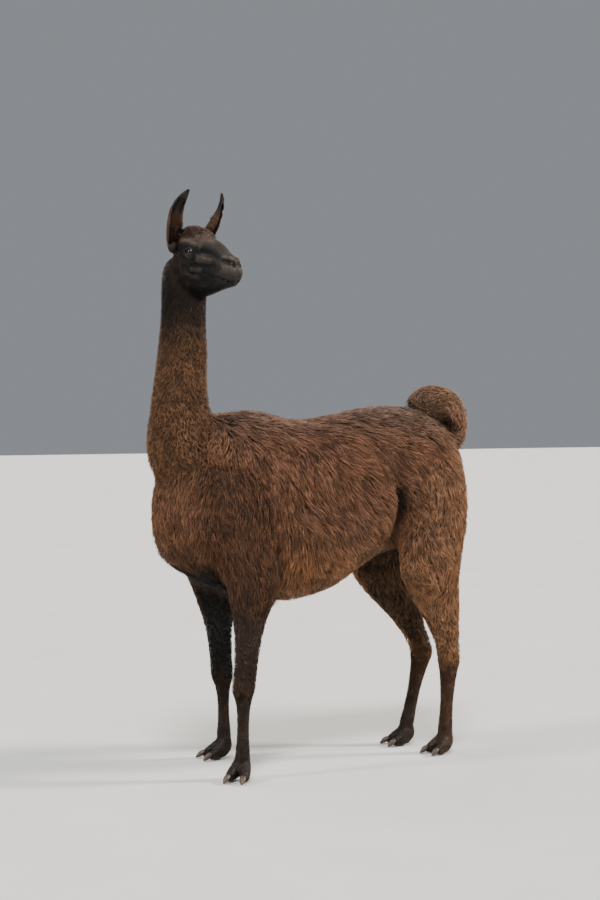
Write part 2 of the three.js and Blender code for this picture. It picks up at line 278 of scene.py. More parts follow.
class Zone:
    """A stretch of the animal's height, with the field of its skin."""

    def __init__(self, shares, nodes, low, high, step, reach):
        self.low, self.high = low, high
        boxes = {node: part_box(node) for node in nodes}
        nodes = [node for node in nodes if boxes[node][0].z < high + reach and boxes[node][1].z > low - reach]
        corner, far_corner = extent(nodes)
        corner[2] = max(corner[2], low - reach)
        far_corner[2] = min(far_corner[2], high + reach)
        self.grid = Grid(corner - reach / 2, far_corner + reach / 2, step)
        joined = self.grid.distance(*soup(nodes), 3 * step)
        points, quads = self.grid.surface(joined, WELD)
        outside = self.grid.distance(points, quads, reach) + WELD
        depth = shares.mixed_field(COAT_DEPTH).over(self.grid)
        width = shares.mixed_field(SMOOTHING).over(self.grid)
        folds = self.folds() if low < FOLDS["groin"].path[0][2] < high else 0
        self.skin = Field(self.grid, (self.smoothed(outside, width) + depth - folds).astype(np.float32))

    def folds(self):
        """How far the body's folds stand out at every place of the grid."""
        places = (np.indices(self.grid.shape).reshape(3, -1).T + self.grid.first) * self.grid.step
        return ridges(folded(places), FOLDS).reshape(self.grid.shape)

    def smoothed(self, outside, width):
        """The distance blurred by the local width, from three blurs."""
        low, high = width.min(), width.max()
        middle = (1 - MIDDLE_BLUR) * low + MIDDLE_BLUR * high
        fine, half, coarse = blurs(outside, (low, middle, high), self.grid.step)
        first = np.clip((width - low) / (middle - low), 0, 1)
        second = np.clip((width - middle) / (high - middle), 0, 1)
        return (fine * (1 - first) + half * first) * (1 - second) + coarse * second


class Ridge(NamedTuple):
    """What stands out, or with a height under 0 sinks, along a path on both sides."""

    width: float
    height: float
    path: list


# Folds of the body, in the model's frame.
FOLDS = {
    "flank": Ridge(.015, -.018, [(.150, .232, .990), (.156, .236, .880)]),
    "groin": Ridge(.015, -.060, [(.150, .238, .880), (.134, .250, .780), (.090, .240, .700)]),
    "thigh_edge": Ridge(.016, .010, [(.150, .285, .900), (.148, .292, .760)]),
    "elbow": Ridge(.014, -.022, [(.165, -.215, .700), (.140, -.190, .640)]),
}

# ---- The head's relief, in the head's own frame ----
RELIEF = {
    "brow": Ridge(.0065, .0080, [(.054, .036, .036), (.056, -.006, .029), (.049, -.038, .015)]),
    "lid_crease": Ridge(.0026, -.0026, [(.061, .027, .014), (.064, -.004, .019), (.054, -.034, .008)]),
    "eye_bag": Ridge(.003, -.002, [(.060, .020, -.013), (.060, -.008, -.022), (.051, -.034, -.015)]),
    "tear_groove": Ridge(.003, -.002, [(.052, -.032, -.004), (.046, -.052, -.018)]),
    "cheekbone": Ridge(.011, .0075, [(.049, -.040, -.022), (.042, -.078, -.030)]),
    "nose_side": Ridge(.008, -.0045, [(.042, -.058, -.004), (.030, -.104, -.022)]),
    "cheek_hollow": Ridge(.006, -.0055, [(.054, -.012, -.040), (.045, -.058, -.042), (.038, -.086, -.048)]),
    "upper_fold": Ridge(.0045, .0050, [(.055, -.010, -.052), (.047, -.042, -.057)]),
    "middle_fold": Ridge(.0045, .0045, [(.058, .020, -.060), (.053, -.004, -.074), (.045, -.030, -.079)]),
    "rear_fold": Ridge(.006, .003, [(.058, .040, -.040), (.058, .034, -.070), (.050, .014, -.098)]),
    "temple": Ridge(.008, -.003, [(.058, .050, .018), (.060, .038, -.008)]),
    "nostril": Ridge(.0042, -.013, [(.027, -.126, -.033), (.021, -.144, -.037), (.011, -.157, -.046)]),
    "nostril_wing": Ridge(.0050, .0055, [(.026, -.124, -.021), (.018, -.145, -.025), (.009, -.158, -.034)]),
    "lip_pad": Ridge(.010, .0045, [(.028, -.130, -.058), (.018, -.150, -.066)]),
    "lip_edge": Ridge(.0035, .002, [(.034, -.100, -.071), (.026, -.130, -.083), (.014, -.152, -.090)]),
    "mouth": Ridge(.0030, -.0080, [(.034, -.094, -.078), (.025, -.130, -.090), (.012, -.153, -.097),
                                   (0, -.160, -.098)]),
    "philtrum": Ridge(.0022, -.004, [(0, -.164, -.056), (0, -.164, -.093)]),
    "jaw": Ridge(.008, .002, [(.042, .024, -.100), (.035, -.040, -.108), (.024, -.090, -.102)]),
}

# The lids cover the eyeball but for an almond, measured in radii of the lids from its middle.
LID_THICKNESS = 0.0024
LID_RADIUS = EYE_RADIUS + LID_THICKNESS
LID_MELT = 0.007  # how widely a lid runs into the face
LID_FACING = (-0.1, 0.4)  # how far outwards, in lid radii, the lids set in
EYE_AIM = unit(np.array([1.0, -0.30, 0.06]))
EYE_SLANT = math.radians(9)
ALMOND_HALF = 0.80
UPPER_LID = {"height": 0.50, "round": 0.8}
LOWER_LID = {"height": 0.36, "round": 0.9}
ALMOND_BEYOND = 0.4  # how far outside the opening a place past its corners counts
LID_EDGE = 0.05
LID_DEPTH = 0.008
OPENING_FACING = (0.1, 0.3)
EYE_REACH = 1.4  # lid radii from the eye's middle that its opening concerns


def in_head(points):
    """Points in the head's own frame."""
    return (points - np.array(HEAD_MIDDLE)) @ HEAD_AXES.T


def path_distance(points, path):
    """How far each point is from a path of straight steps."""
    best = np.full(len(points), np.inf)
    for start, end in zip(np.array(path), np.array(path)[1:]):
        step = end - start
        along = np.clip((points - start) @ step / (step @ step), 0, 1)
        best = np.minimum(best, np.linalg.norm(points - start - along[:, None] * step, axis=1))
    return best


def bell(distance, width):
    """Falls from 1 to 0 as a distance grows past a width."""
    return np.exp(-0.5 * (distance / width) ** 2)


def ridges(points, parts):
    """How far a table's ridges and grooves stand out at points."""
    total = np.zeros(len(points))
    for part in parts.values():
        total += part.height * bell(path_distance(points, part.path), part.width)
    return total


def relief(local):
    """How far the face stands out at points of the head's frame."""
    return ridges(folded(local), RELIEF)


def eye_middle(side):
    """The middle of an eye in the head's frame. Side is 1 for the left."""
    return np.array([side * (EYES["left"] - EYES["right"]).length / 2, 0, 0])


def eye_axes(side):
    """An eye's outward, forward and upward directions in the head's frame. Side is 1 for the left."""
    outward = EYE_AIM * (side, 1, 1)
    forward = unit(np.array([0, -math.cos(EYE_SLANT), -math.sin(EYE_SLANT)]))
    forward = unit(forward - outward * (forward @ outward))
    return outward, forward, np.cross(forward, outward) * side


def almond(along, up):
    """How far a place on the lids is inside the opening, in lid radii."""
    span = np.clip(1 - (along / ALMOND_HALF) ** 2, 0, 1)
    under_lid = UPPER_LID["height"] * span ** UPPER_LID["round"] - up
    over_lid = up + LOWER_LID["height"] * span ** LOWER_LID["round"]
    return np.minimum(under_lid, over_lid) - ALMOND_BEYOND * (span <= 0)


def carved(points, distance):
    """The head's distance with its relief and lids."""
    local = in_head(points)
    distance = distance - relief(local)
    for side in (1, -1):
        away = (local - eye_middle(side)) / LID_RADIUS
        radius = np.linalg.norm(away, axis=1)
        outward = eye_axes(side)[0]
        ball = (radius - 1) * LID_RADIUS
        facing = smooth_step(away @ outward, *LID_FACING)
        melt = np.clip(0.5 + 0.5 * (distance - ball) / LID_MELT, 0, 1)
        joined = distance * (1 - melt) + ball * melt - LID_MELT * melt * (1 - melt)
        distance = distance * (1 - facing) + joined * facing
    return distance


def opened(points):
    """The head's points with those in the eye openings sunk behind the eyeballs."""
    local = in_head(points)
    for side in (1, -1):
        away = (local - eye_middle(side)) / LID_RADIUS
        outward, forward, upward = eye_axes(side)
        inside = smooth_step(almond(away @ forward, away @ upward), -LID_EDGE, LID_EDGE)
        inside *= smooth_step(away @ outward, *OPENING_FACING) * (np.linalg.norm(away, axis=1) < EYE_REACH)
        local = local - outward * (LID_DEPTH * inside)[:, None]
    return local @ HEAD_AXES + np.array(HEAD_MIDDLE)


class Skin:
    """The field of the whole skin: below 0 inside it and above 0 outside."""

    def __init__(self, shares):
        names = list(ZONES)
        nodes = [node for node in FLESH if node not in GROUPS["ear"]] + ["eye_left", "eye_right"]
        self.zones = []
        for name, above in zip(names, names[1:] + [None]):
            high = ZONES[above]["from"] if above else TOP
            facts = ZONES[name]
            self.zones.append(Zone(shares, nodes, facts["from"], high, facts["step"], facts["reach"]))
        self.ears = Zone(shares, GROUPS["ear"], EAR_ZONE["from"], TOP, EAR_ZONE["step"], EAR_ZONE["reach"])
        self.root_ears(self.zones[-1])
        self.shapes = [self.shape_of(zone) for zone in self.zones]
        self.ear_shape = self.shape_of(self.ears)

    def root_ears(self, zone):
        """Rounds the corner between the head and the foot of each ear."""
        ears = self.ears.skin.over(zone.grid) + EAR_ROOT["inset"]
        head = zone.skin.values
        near = np.clip(EAR_ROOT["round"] - np.abs(head - ears), 0, None)
        zone.skin.values = (np.minimum(head, ears) - near ** 2 / (4 * EAR_ROOT["round"])).astype(np.float32)

    def shape_of(self, zone):
        """A zone's skin with its slope beside it: what is quick to read once the mesh is made."""
        values = zone.skin.values.copy()
        if zone is self.zones[-1]:
            near = np.argwhere(np.abs(values) < FACE_REACH)
            places = (near + zone.grid.first) * zone.grid.step
            values[tuple(near.T)] = carved(places, values[tuple(near.T)])
        return Field(zone.grid, np.stack([values, *np.gradient(values, zone.grid.step)], axis=-1))

    def read(self, points):
        """The distance from the skin and its slope, the ears among it."""
        total = np.empty((len(points), 4))
        for number, zone in enumerate(self.zones):
            own = self.own(points, number)
            total[own] = self.shapes[number].at(points[own])
        high = np.flatnonzero(points[:, 2] > self.ears.low)
        ears = self.ear_shape.at(points[high])
        nearer = ears[:, 0] < total[high, 0]
        total[high[nearer]] = ears[nearer]
        return total

    def own(self, points, number):
        """Which points are in one zone."""
        low = self.zones[number].low if number else -np.inf
        high = self.zones[number].high if number < len(self.zones) - 1 else np.inf
        return (points[:, 2] >= low) & (points[:, 2] < high)

    def at(self, points):
        """The distance from the skin at points."""
        return self.read(points)[:, 0]

    def normal(self, points):
        """The skin's outward direction at points."""
        return unit(self.read(points)[:, 1:])

    def of_face(self, points):
        """The exact distance from the head's skin without the ears."""
        return carved(points, self.zones[-1].skin.at(points))


# ---- The skin's mesh ----
def mesh_of(name, points, faces):
    """A mesh from arrays of points and of triangles or quads."""
    mesh = bpy.data.meshes.new(name)
    mesh.vertices.add(len(points))
    mesh.vertices.foreach_set("co", np.asarray(points, np.float32).ravel())
    sides = faces.shape[1]
    mesh.loops.add(faces.size)
    mesh.loops.foreach_set("vertex_index", np.asarray(faces, np.int32).ravel())
    mesh.polygons.add(len(faces))
    mesh.polygons.foreach_set("loop_start", np.arange(0, faces.size, sides, dtype=np.int32))
    mesh.update(calc_edges=True)
    return mesh


def cut_below(bm, height, keep_above):
    """Cuts a mesh level at a height and keeps one side, open."""
    bmesh.ops.bisect_plane(
        bm, geom=bm.verts[:] + bm.edges[:] + bm.faces[:], plane_co=(0, 0, height),
        plane_no=(0, 0, 1), clear_inner=keep_above, clear_outer=not keep_above,
    )


def zone_mesh(zone, first, last):
    """The skin of one zone, open where it meets the next."""
    points, quads = zone.grid.surface(zone.skin.values)
    bm = bmesh.new()
    mesh = mesh_of("zone", points, quads)
    bm.from_mesh(mesh)
    bpy.data.meshes.remove(mesh)
    if not first:
        cut_below(bm, zone.low + SEAM_GAP / 2, keep_above=True)
    if not last:
        cut_below(bm, zone.high - SEAM_GAP / 2, keep_above=False)
    return bm


def rims(bm):
    """The open edges as loops, each with its middle."""
    left = {edge for edge in bm.edges if len(edge.link_faces) == 1}
    found = []
    while left:
        loop, ahead = [], [left.pop()]
        while ahead:
            edge = ahead.pop()
            loop.append(edge)
            for vert in edge.verts:
                for other in vert.link_edges:
                    if other in left:
                        left.discard(other)
                        ahead.append(other)
        middle = sum((edge.verts[0].co for edge in loop), Vector()) / len(loop)
        found.append((middle, loop))
    return found


def bridge_seam(bm, height):
    """Joins the rims just under and just over a height, each with the nearest."""
    near = [(middle, loop) for middle, loop in rims(bm) if abs(middle.z - height) < 2 * SEAM_GAP]
    under = [pair for pair in near if pair[0].z < height]
    over = [pair for pair in near if pair[0].z >= height]
    for middle, loop in under:
        match = min(over, key=lambda pair: (pair[0] - middle).length)
        bmesh.ops.bridge_loops(bm, edges=loop + match[1])


def refine(bm, middle, radius):
    """Halves the edges of the faces near a point."""
    near = [face for face in bm.faces if (face.calc_center_median() - middle).length < radius]
    edges = list({edge for face in near for edge in face.edges})
    bmesh.ops.subdivide_edges(bm, edges=edges, cuts=1, use_grid_fill=True)


def settled(skin, points):
    """The points moved onto the skin, with the head's relief."""
    for _ in range(SETTLING["rounds"]):
        fall = slope(skin.of_face, points, SETTLING["probe"])
        steep = np.maximum((fall ** 2).sum(axis=1), SETTLING["flattest"])
        step = np.clip(skin.of_face(points), -SETTLING["longest"], SETTLING["longest"]) / steep
        points = points - fall * step[:, None]
    return points


def skin_mesh(skin):
    """One closed mesh from all the zones."""
    whole = bmesh.new()
    for number, zone in enumerate(skin.zones):
        part = zone_mesh(zone, number == 0, number == len(skin.zones) - 1)
        mesh = bpy.data.meshes.new("part")
        part.to_mesh(mesh)
        part.free()
        whole.from_mesh(mesh)
        bpy.data.meshes.remove(mesh)
    for zone in skin.zones[1:]:
        bridge_seam(whole, zone.low)
    for side in EYES.values():
        outward = side + (side - HEAD_MIDDLE).normalized() * EYE_RADIUS
        for radius in EYE_REFINING:
            refine(whole, outward, radius)
    muzzle = HEAD_MIDDLE + HEAD_BACK * MUZZLE_REFINING["y"] + HEAD_UP * MUZZLE_REFINING["z"]
    refine(whole, muzzle, MUZZLE_REFINING["radius"])
    bmesh.ops.triangulate(whole, faces=whole.faces[:])
    return whole


def arrays_of(mesh):
    """A mesh's points and triangles."""
    points = np.empty((len(mesh.vertices), 3), np.float32)
    mesh.vertices.foreach_get("co", points.ravel())
    mesh.calc_loop_triangles()
    triangles = np.empty((len(mesh.loop_triangles), 3), np.int32)
    mesh.loop_triangles.foreach_get("vertices", triangles.ravel())
    return points.astype(float), triangles


def piece(name, mesh, nodes=()):
    """Adds a mesh to the scene as a piece of the llama."""
    thing = loose(name, mesh)
    mesh.polygons.foreach_set("use_smooth", [True] * len(mesh.polygons))
    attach(thing, "root")
    if nodes:
        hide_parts(*nodes)
    return thing


def applied(thing):
    """A thing's mesh with its modifiers applied. The thing goes."""
    graph = bpy.context.evaluated_depsgraph_get()
    mesh = bpy.data.meshes.new_from_object(thing.evaluated_get(graph))
    bpy.data.objects.remove(thing)
    return mesh


def loose(name, mesh):
    """A mesh as an object of the scene, before it becomes a piece."""
    thing = bpy.data.objects.new(name, mesh)
    bpy.context.scene.collection.objects.link(thing)
    return thing


def ear_mesh(skin):
    """Both ears' closed skins, with fewer triangles than their grid gives."""
    points, quads = skin.ears.grid.surface(skin.ears.skin.values)
    ears = loose("ears", mesh_of("ears", points, quads))
    ears.modifiers.new("fewer", "DECIMATE").ratio = EAR_KEPT
    return applied(ears)


def make_skin(skin):
    """The one skin over all the flesh."""
    bm = skin_mesh(skin)
    mesh = bpy.data.meshes.new("skin")
    bm.to_mesh(mesh)
    bm.free()
    points = arrays_of(mesh)[0]
    head = points[:, 2] > ZONES["head"]["from"] + SEAM_GAP
    points[head] = opened(settled(skin, points[head]))
    mesh.vertices.foreach_set("co", points.astype(np.float32).ravel())
    whole = loose("skin_without_ears", mesh)
    ears = loose("ears", ear_mesh(skin))
    join = whole.modifiers.new("ears", "BOOLEAN")
    join.operation = "UNION"
    join.solver = "MANIFOLD"
    join.object = ears
    mesh = applied(whole)
    bpy.data.objects.remove(ears)
    mesh.materials.clear()
    points, triangles = arrays_of(mesh)
    return piece("skin", mesh, FLESH), points, triangles


# ---- Eyes and nails ----
EYE_RINGS = 48
EYE_SIDES = 72
CORNEA_RISE = 0.0012
CORNEA_SPAN = 0.75  # radians from the eye's aim to the cornea's edge


def make_eye(side_name, side):
    """A smooth eyeball with its cornea, whose iris is laid out by an attribute round the eye's aim."""
    outward, forward, upward = (axis @ HEAD_AXES for axis in eye_axes(side))
    bm = bmesh.new()
    bmesh.ops.create_uvsphere(bm, u_segments=EYE_SIDES, v_segments=EYE_RINGS, radius=1)
    mesh = bpy.data.meshes.new("eyeball")
    bm.to_mesh(mesh)
    bm.free()
    local = arrays_of(mesh)[0]
    angle = np.arccos(np.clip(local[:, 2], -1, 1))
    rise = CORNEA_RISE * (1 - smooth_step(angle, 0, CORNEA_SPAN))
    world = local @ np.array([forward, upward, outward]) * (EYE_RADIUS + rise)[:, None]
    mesh.vertices.foreach_set("co", (world + np.array(EYES[side_name])).astype(np.float32).ravel())
    spot = mesh.attributes.new("spot", "FLOAT_VECTOR", "POINT")
    spot.data.foreach_set("vector", local.astype(np.float32).ravel())
    bm = bmesh.new()
    bm.from_mesh(mesh)
    bmesh.ops.recalc_face_normals(bm, faces=bm.faces[:])
    bm.to_mesh(mesh)
    bm.free()
    eye = piece(f"eyeball_{side_name}", mesh, [f"eye_{side_name}"])
    eye.data.materials.append(eye_material())


NAIL_STEP = 0.0012
NAIL_BLUR = 0.0020
NAIL_MARGIN = 0.008


def make_nail(node):
    """A nail with its corners rounded off."""
    low, high = extent([node])
    grid = Grid(low - NAIL_MARGIN, high + NAIL_MARGIN, NAIL_STEP)
    solid = grid.distance(*soup([node]), NAIL_MARGIN)
    smooth, = blurs(solid, [NAIL_BLUR], NAIL_STEP)
    points, quads = grid.surface(smooth, NAIL_BLUR / 4)
    nail = piece(f"smooth_{node}", mesh_of(node, points, quads), [node])
    nail.data.materials.append(nail_material())


# ---- Colours: linear red, green and blue ----
def colour(red, green, blue):
    """A colour written in display values of 0 to 255, as linear light."""
    return (np.array([red, green, blue]) / 255) ** 2.2


PELT = {
    "trunk": colour(91, 64, 53),
    "neck": colour(92, 66, 47),
    "head": colour(21, 18, 17),
    "ear": colour(82, 58, 43),
    "tail": colour(98, 80, 70),
    "arm": colour(70, 47, 35),
    "thigh": colour(116, 84, 64),
    "shank": colour(50, 39, 32),
    "foot": colour(46, 37, 31),
}
RUSSET = colour(136, 93, 60)
# A painted sky reflection: the grey put on the top of the back.
SKY_REFLECTION_GREY = colour(84, 71, 65)
# Taupe: painted highlights on the head, and in part the muzzle's own lighter tone.
TAUPE = colour(142, 124, 110)
# A near-black, both for dark hair and for painted shade in recesses, undersides, folds, grooves and openings.
BLACK_AND_SHADE = colour(12, 9, 8)
UMBER = colour(70, 46, 36)
# Golden tips: partly the hair's own, partly painted rim light on the fringes and locks.
GOLD = colour(178, 128, 78)

# How far out a place looks for other parts of the body that shade it, and how dark its painted shade is deep
# among them.
RECESS_REACH = {
    "trunk": .046, "neck": .030, "head": .011, "ear": .010, "tail": .026,
    "arm": .040, "thigh": .046, "shank": .016, "foot": .008,
}
RECESS_SHADE = 0.16
RECESS_RANGE = (0.30, 0.88)
MOTTLE = (0.78, 0.44)  # the darkest of the small blots, and how much lighter the lightest is

# Between which two values of a height, a place along the body or a direction each thing sets in.
RAMPS = {
    # The body's markings, its painted shade and its painted sky reflection, in the model's frame.
    "belly_height": (0.80, 0.60), "belly_front": (-0.36, -0.22), "back": (1.02, 1.15), "rump": (0.36, 0.50),
    "chest_height": (0.90, 0.68), "chest_rear": (-0.28, -0.40), "forearm": (0.76, 0.42), "nape": (1.31, 1.52),
    "inner": (0.0, 0.60), "under": (0.40, 0.90), "crease": (0.003, 0.022),
    # The head's markings, its painted highlights and its painted shade, in its own frame.
    "upward": (0.15, 0.75), "muzzle_front": (0.085, 0.150), "muzzle_height": (-0.125, -0.050),
    "forehead": (0.016, 0.040), "throat_depth": (0.045, 0.110), "throat_rear": (-0.12, -0.04),
    "ridge": (0.0004, 0.0058), "groove": (0.0004, 0.0048), "crown": (0.040, 0.058), "lid": (1.5, 1.05),
    # The coat's length, lift, way and golden tips, the tips partly painted rim light.
    "fringe_hair": (0.72, 0.58), "forearm_hair": (0.60, 0.46), "gaskin_hair": (0.56, 0.40),
    "crown_hair": (0.040, 0.062), "crown_front": (0.075, 0.045), "muzzle_hair": (0.080, 0.120),
    "over_back": (0.98, 1.14), "behind_neck": (-0.45, -0.2), "above_legs": (0.50, 0.86), "cheek": (0.0, 0.09),
    "golden": (0.80, 0.60),
}
RUSSET_SHARES = {"belly": 0.70, "rump": 0.25, "blotches": 0.22}
# How far the body goes to near-black: painted shade on the inside of the legs, under the body, low on the chest
# and in the folds, a painted shadow of the head on the nape, and the forearms' and nape's own darker hair.
DARK_AND_SHADE_SHARES = {"nape": 0.93, "inner": 0.84, "under": 0.62, "chest": 0.55, "forearm": 0.68, "crease": 0.92}
# How strongly the top of the back takes its painted sky reflection.
BACK_SKY_REFLECTION = 0.85
# The painted shade on the inside of the legs: how dark it is on the arms against the thighs.
ARM_INSIDE = 0.85  # how dark the inside of the arms is against that of the thighs
WANDER = {"forearm": 0.05, "nape": 0.06}  # how far blots move a marking's height

# Taupe on the head: painted highlights where it faces up, on top of the forehead and on what stands out; on the
# muzzle partly its own lighter tone, partly painted light.
TAUPE_AND_HIGHLIGHT_SHARES = {"muzzle": 0.20, "upward": 0.18, "forehead": 0.28, "ridge": 0.17}
CROWN_UMBER = 0.80
# Near-black on the head: painted shade under the jaw, in the face's grooves, in the nostrils and along the
# mouth's line; the lids' own dark colour.
HEAD_DARK_AND_SHADE = {"throat": 0.95, "groove": 0.85, "nostril": 1.0, "mouth": 0.8, "lid": 0.6}
# Near-black on the ears: painted shade in their hollows, and the tips' own darker colour.
EAR_DARK_AND_SHADE = {"hollow": 0.95, "tip": 0.75}
EAR_TIP = (1.74, 1.79)
EAR_LOOK = 0.012  # how far a place on an ear looks for the other wall
EAR_HOLLOW = (0.10 * EAR_LOOK, 0.45 * EAR_LOOK)
NOSTRIL_DARK = 0.0045
MOUTH_DARK = 0.0026


def ramp(name, value):
    """How far a value is past where a thing of the table sets in, from 0 to 1."""
    return smooth_step(value, *RAMPS[name])


def shared(table, found):
    """The sum of what is found, each with its share from a table."""
    return sum(share * found[name] for name, share in table.items())


def toned(base, tone, share):
    """Colours moved towards a tone."""
    share = np.clip(share, 0, 1)[:, None]
    return base * (1 - share) + tone * share


def openness(points, normals):
    """How freely places look outwards, from 0 in a deep fold to 1."""
    reach = shares.mix(RECESS_REACH, points)
    return skin.at(points + normals * reach[:, None]) / reach


def head_tones(base, points, normals):
    """The head's colours: taupe as painted highlights on what stands out and on top, near-black as painted
    shade in the grooves and openings and under the jaw.
    """
    local = in_head(points)
    head = shares.of("head", points)
    stands = relief(local)
    upward = ramp("upward", normals[:, 2])
    muzzle = ramp("muzzle_front", -local[:, 1]) * ramp("muzzle_height", local[:, 2])
    light = {"muzzle": muzzle, "upward": upward, "forehead": ramp("forehead", local[:, 2]) * upward}
    # Painted shade under the jaw, in the grooves, in the nostrils and along the mouth; the lids' own dark
    # colour.
    dark = {
        "throat": ramp("throat_depth", -local[:, 2]) * ramp("throat_rear", local[:, 1]),
        "groove": ramp("groove", -stands), **openings(local),
    }
    # Painted highlights on top, on the forehead and on what stands out; on the muzzle partly its own lighter
    # tone.
    base = toned(base, TAUPE, sum(TAUPE_AND_HIGHLIGHT_SHARES[name] * found for name, found in light.items()) * head)
    base = toned(base, TAUPE, TAUPE_AND_HIGHLIGHT_SHARES["ridge"] * ramp("ridge", stands) * head)
    base = toned(base, UMBER, CROWN_UMBER * ramp("crown", local[:, 2]) * head)
    # Painted shade in the ears' hollows, and the ear tips' own darker colour.
    base = toned(base, BLACK_AND_SHADE, shared(EAR_DARK_AND_SHADE, ear_darks(points, normals)))
    # Painted shade under the jaw, in the grooves and openings; the dark lids.
    return toned(base, BLACK_AND_SHADE, shared(HEAD_DARK_AND_SHADE, dark) * head)


def ear_darks(points, normals):
    """How near places are to the hollow and the tip of an ear, from 0 to 1."""
    ears = shares.of("ear", points)
    # How closely the other wall of the ear faces a place, for the painted shade in its hollow.
    walled = smooth_step(EAR_LOOK - skin.at(points + normals * EAR_LOOK), *EAR_HOLLOW)
    return {"hollow": ears * walled, "tip": ears * smooth_step(points[:, 2], *EAR_TIP)}


def openings(local):
    """How near places of the head's frame are to the nostrils, the mouth's line and the lids, from 0 to 1."""
    places = folded(local)
    lids = np.linalg.norm(places - eye_middle(1), axis=1) / LID_RADIUS
    return {
        "nostril": bell(path_distance(places, RELIEF["nostril"].path), NOSTRIL_DARK),
        "mouth": bell(path_distance(places, RELIEF["mouth"].path), MOUTH_DARK),
        "lid": ramp("lid", lids),
    }


def markings_and_painted_light(points, normals):
    """How strongly each marking, painted shade and painted sky reflection of the body shows at points, from 0
    to 1.
    """
    trunk, arm, thigh, neck = (shares.of(group, points) for group in ("trunk", "arm", "thigh", "neck"))
    y, z = points[:, 1], points[:, 2]
    blots = blotch.at(points)
    inward = -normals[:, 0] * np.sign(points[:, 0])
    return {
        "belly": ramp("belly_height", z) * ramp("belly_front", y) * trunk,
        "back": ramp("back", z) * trunk,
        # Painted sky reflection on the top of the back.
        "rump": ramp("rump", y),
        "blotches": blots * trunk,
        # Painted shade low on the front of the chest.
        "chest": ramp("chest_height", z) * ramp("chest_rear", y) * trunk,
        # Painted shade on the inside of the legs, where they face each other.
        "inner": (ARM_INSIDE * arm + thigh) * ramp("inner", inward),
        # Painted shade: darker where the skin faces down.
        "under": ramp("under", -normals[:, 2]),
        # Darker low on the forearms: partly their own darker hair, partly painted shade.
        "forearm": arm * ramp("forearm", z + WANDER["forearm"] * blots),
        # Near-black high on the neck: mostly a painted shadow of the head, partly the neck's own darker hair by
        # the black head.
        "nape": ramp("nape", z + WANDER["nape"] * blots) * neck,
        # Painted shade in the body's folds.
        "crease": ramp("crease", -ridges(folded(points), FOLDS)),
    }


def pelt(points):
    """The coat's colour at any place, the same for the skin and the tufts, with painted shade, painted
    highlights and a painted sky reflection in it.
    """
    normals = skin.normal(points)
    marks = markings_and_painted_light(points, normals)
    base = toned(shares.mix(PELT, points), RUSSET, shared(RUSSET_SHARES, marks))
    # Painted sky reflection: the top of the back greyed.
    base = toned(base, SKY_REFLECTION_GREY, BACK_SKY_REFLECTION * marks["back"])
    # Painted shade and a painted shadow of the head, with some dark hair of the forearms and nape.
    base = toned(base, BLACK_AND_SHADE, shared(DARK_AND_SHADE_SHARES, marks))
    base = head_tones(base, points, normals)
    # Painted shade: darker deep among other parts of the body; the mottle is the coat's own small blots.
    seen = smooth_step(openness(points, normals), *RECESS_RANGE)
    darkest, lighter = MOTTLE
    shade = (RECESS_SHADE + (1 - RECESS_SHADE) * seen) * (darkest + lighter * mottle.at(points))
    return base * shade[:, None]


class Noise(Field):
    """Smooth noise from 0 to 1 whose blots are about one step across."""

    def __init__(self, seed, step):
        low, high = extent(FLESH)
        grid = Grid(low - step, high + step, step)
        super().__init__(grid, np.random.default_rng(seed).random(grid.shape))


# ---- The coat ----
COAT = {
    "length": {"trunk": .062, "neck": .018, "head": .0058, "ear": .008, "tail": .072,
               "arm": .036, "thigh": .048, "shank": .010, "foot": .007},
    "width": {"trunk": .0029, "neck": .0021, "head": .0011, "ear": .0013, "tail": .0030,
              "arm": .0025, "thigh": .0029, "shank": .0017, "foot": .0015},
    "wave": {"trunk": .0032, "neck": .0022, "head": .0003, "ear": .0002, "tail": .0050,
             "arm": .0020, "thigh": .0036, "shank": .0003, "foot": .0002},
    "stray": {"trunk": .13, "neck": .42, "head": .16, "ear": .10, "tail": .50,
              "arm": .20, "thigh": .24, "shank": .14, "foot": .12},
    "clump": {"trunk": .56, "neck": .28, "head": .10, "ear": .05, "tail": .22,
              "arm": .45, "thigh": .58, "shank": .15, "foot": .10},
    "lift": {"trunk": .92, "neck": 1.00, "head": .60, "ear": 1.40, "tail": 1.45,
             "arm": 1.10, "thigh": 1.05, "shank": .85, "foot": .85},
}
CLUMP_SPACING = 0.019
ROOT_DEPTH = 0.0015
PATCH = 0.0015  # half of a tuft's patch on the unwrap
LONG = 3  # steps along a tuft of long hair
SHORT = 2
LOCK_STEPS = 5
COAT_SEED = 20
# The skin is darker than the coat: partly its own darker tone, partly painted shade of the coat over it.
HIDE_SHADE = 0.60  # of the skin against the coat over it

# How much the tufts differ: between which two factors each of their measures lies.
VARIETY = {
    "length": (0.7, 1.25), "lift": (0.55, 1.15), "width": (0.75, 1.25), "pull": (0.5, 1.2),
    "clump": (0.45, 1.50), "shade": (0.60, 1.48), "gold": (0.3, 1.4),
}
# Dark roots are partly painted shade within the coat; light tips are partly the hair's own.
ROOT_TO_TIP = (0.34, 1.60)  # the shades of a tuft from its root to its tip
WARMTH = 0.30
# Golden tips: partly the hair's own lighter tips, partly painted rim light on the belly's edge, the rump and
# the hanging locks.
GOLD_SHARES = {"locks": 0.05, "fringe": 0.24, "most": 0.8}
DARK_COAT = (0.004, 0.060)  # the albedos between which tufts get their warm and golden tips


class Lock(NamedTuple):
    """A change of the coat round a path on both sides: how far from it, and what it multiplies."""

    path: list
    reach: float
    wave: float = 1
    lift: float = 1
    length: float = 1
    curl: float = 1
    gold: float = 1


